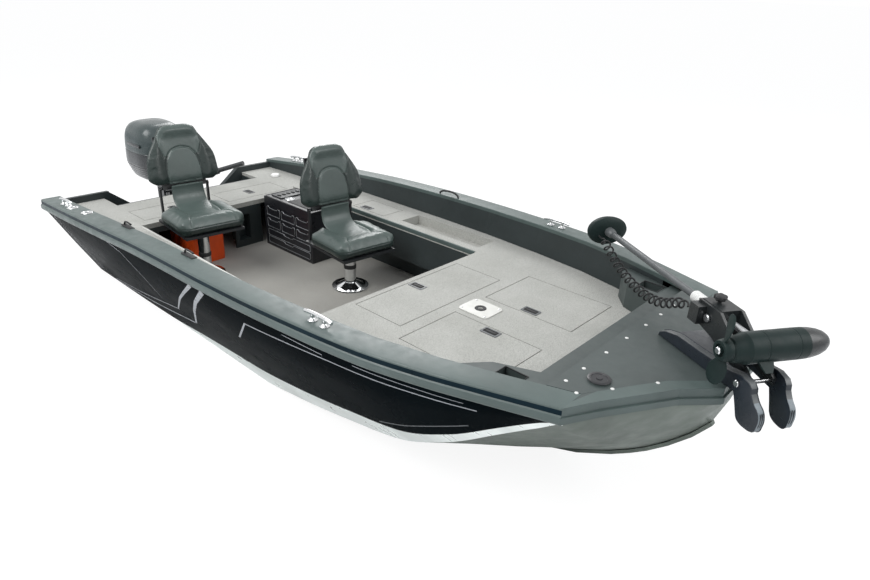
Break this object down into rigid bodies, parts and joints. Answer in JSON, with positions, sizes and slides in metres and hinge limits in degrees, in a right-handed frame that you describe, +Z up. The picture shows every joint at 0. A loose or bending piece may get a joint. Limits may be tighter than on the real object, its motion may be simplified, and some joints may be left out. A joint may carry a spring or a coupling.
{
  "type": "bass boat",
  "caption": "Open aluminium fishing boat with raised decks, side console, swivel seats, tiller outboard and a fold-down bow motor.",
  "frame": {"origin": "on the centreline at the transom's aft face, at the waterline", "axes": "+X forward to the bow, +Y to port, +Z up from the water"},
  "size_m": [4.9668, 1.994, 1.6024],
  "materials": {
    "gloss_black_hull": "gloss",
    "bare_aluminium": "satin",
    "grey_green_gunwale": "satin",
    "dark_liner": "matte",
    "speckled_carpet": "matte",
    "console_black": "satin",
    "charcoal_vinyl": "satin",
    "seat_shell": "matte",
    "chrome": "polished",
    "orange_tank": "satin",
    "motor_black": "gloss",
    "bow_motor_dark": "satin",
    "shaft_steel": "satin",
    "cord_black": "matte"
  },
  "bodies": {
    "hull": {"aft_bulkhead": "dark_liner", "aft_deck": "speckled_carpet", "bow_bulkhead": "dark_liner", "bow_mount": "bow_motor_dark", "bow_panel": "grey_green_gunwale", "bow_rail": "grey_green_gunwale", "cleats": "chrome", "cockpit_floor": "speckled_carpet", "console": "console_black", "console_trays": "console_black", "fore_bulkhead": "dark_liner", "foredeck": "speckled_carpet", "fuel_tank": "orange_tank", "gunwale_port": "grey_green_gunwale", "gunwale_starboard": "grey_green_gunwale", "hull_bottom": "bare_aluminium", "keel_strip": "bare_aluminium", "liner_port": "dark_liner", "liner_starboard": "dark_liner", "motor_clamp": "motor_black", "pedestal_aft": "chrome", "pedestal_fore": "chrome", "pocket_port": "dark_liner", "pocket_starboard": "dark_liner", "seat_socket": "seat_shell", "side_deck_port": "speckled_carpet", "side_deck_starboard": "speckled_carpet", "side_port": "gloss_black_hull", "side_starboard": "gloss_black_hull", "side_wall_port": "dark_liner", "side_wall_starboard": "dark_liner", "splash_well": "dark_liner", "transom": "dark_liner"},
    "bow_aft_lid": {"lid_bow_aft": "speckled_carpet"},
    "bow_port_lid": {"lid_bow_port": "speckled_carpet"},
    "bow_starboard_lid": {"lid_bow_starboard": "speckled_carpet"},
    "side_deck_lid": {"lid_side": "speckled_carpet"},
    "aft_port_lid": {"lid_aft_port": "speckled_carpet"},
    "aft_starboard_lid": {"lid_aft_starboard": "speckled_carpet"},
    "fore_seat": {"seat_fore_base": "seat_shell", "seat_fore_cushion": "charcoal_vinyl"},
    "fore_seat_back": {"seat_fore_frame": "seat_shell", "seat_fore_back": "charcoal_vinyl"},
    "aft_seat": {"seat_aft_base": "seat_shell", "seat_aft_cushion": "charcoal_vinyl"},
    "aft_seat_back": {"seat_aft_frame": "seat_shell", "seat_aft_back": "charcoal_vinyl"},
    "outboard_swivel": {"motor_swivel": "motor_black"},
    "outboard": {"motor_cowl": "motor_black", "motor_leg": "motor_black"},
    "outboard_propeller": {"motor_propeller": "motor_black"},
    "tiller_arm": {"tiller": "motor_black"},
    "bow_motor": {"bow_lift": "bow_motor_dark", "bow_shaft": "shaft_steel", "bow_head": "bow_motor_dark", "bow_pod": "bow_motor_dark", "bow_cord": "cord_black"},
    "bow_motor_propeller": {"bow_propeller": "bow_motor_dark"}
  },
  "joints": [
    {"name": "bow_aft_lid_hinge", "type": "hinge", "parent": "hull", "child": "bow_aft_lid", "pos_m": [2.8925, 0, 0.57], "axis": [0, 1, 0], "range_deg": [0, 95]},
    {"name": "bow_port_lid_hinge", "type": "hinge", "parent": "hull", "child": "bow_port_lid", "pos_m": [3.225, 0.5025, 0.57], "axis": [-1, 0, 0], "range_deg": [0, 65]},
    {"name": "bow_starboard_lid_hinge", "type": "hinge", "parent": "hull", "child": "bow_starboard_lid", "pos_m": [3.225, -0.5025, 0.57], "axis": [1, 0, 0], "range_deg": [0, 95]},
    {"name": "side_lid_hinge", "type": "hinge", "parent": "hull", "child": "side_deck_lid", "pos_m": [1.55, 0.7825, 0.57], "axis": [-1, 0, 0], "range_deg": [0, 90]},
    {"name": "aft_port_lid_hinge", "type": "hinge", "parent": "hull", "child": "aft_port_lid", "pos_m": [0.545, 0.5625, 0.53], "axis": [-1, 0, 0], "range_deg": [0, 90]},
    {"name": "aft_starboard_lid_hinge", "type": "hinge", "parent": "hull", "child": "aft_starboard_lid", "pos_m": [0.545, -0.5625, 0.53], "axis": [1, 0, 0], "range_deg": [0, 90]},
    {"name": "fore_seat_swivel", "type": "hinge", "parent": "hull", "child": "fore_seat", "pos_m": [1.798, 0.217, 0.45], "axis": [0, 0, 1], "continuous": true},
    {"name": "fore_seat_fold", "type": "hinge", "parent": "fore_seat", "child": "fore_seat_back", "pos_m": [1.58318, 0.23958, 0.686], "axis": [0.1045, 0.9945, 0], "range_deg": [0, 100]},
    {"name": "aft_seat_swivel", "type": "hinge", "parent": "hull", "child": "aft_seat", "pos_m": [1.004, -0.35, 0.514], "axis": [0, 0, 1], "continuous": true},
    {"name": "aft_seat_fold", "type": "hinge", "parent": "aft_seat", "child": "aft_seat_back", "pos_m": [0.78918, -0.32742, 0.75], "axis": [0.1045, 0.9945, 0], "range_deg": [0, 100]},
    {"name": "motor_tilt", "type": "hinge", "parent": "hull", "child": "outboard_swivel", "pos_m": [-0.005, 0, 0.485], "axis": [0, 1, 0], "range_deg": [0, 65]},
    {"name": "motor_steer", "type": "hinge", "parent": "outboard_swivel", "child": "outboard", "pos_m": [-0.11, 0, 0.515], "axis": [0, 0, 1], "range_deg": [-45, 45]},
    {"name": "motor_propeller_spin", "type": "hinge", "parent": "outboard", "child": "outboard_propeller", "pos_m": [-0.3755, 0, -0.315], "axis": [1, 0, 0], "continuous": true},
    {"name": "tiller_fold", "type": "hinge", "parent": "outboard", "child": "tiller_arm", "pos_m": [-0.004, 0.105, 0.541], "axis": [0.527, -0.8499, 0], "range_deg": [0, 71]},
    {"name": "bow_motor_deploy", "type": "hinge", "parent": "hull", "child": "bow_motor", "pos_m": [4.335, -0.083, 0.796], "axis": [0.5632, 0.8263, 0], "range_deg": [0, 90]},
    {"name": "bow_propeller_spin", "type": "hinge", "parent": "bow_motor", "child": "bow_motor_propeller", "pos_m": [4.2196, -0.2025, 0.92], "axis": [0.5632, 0.8263, 0], "continuous": true}
  ],
  "couplings": [
    {"joint": "tiller_fold", "follows": "motor_tilt", "ratio": 1.0923}
  ]
}
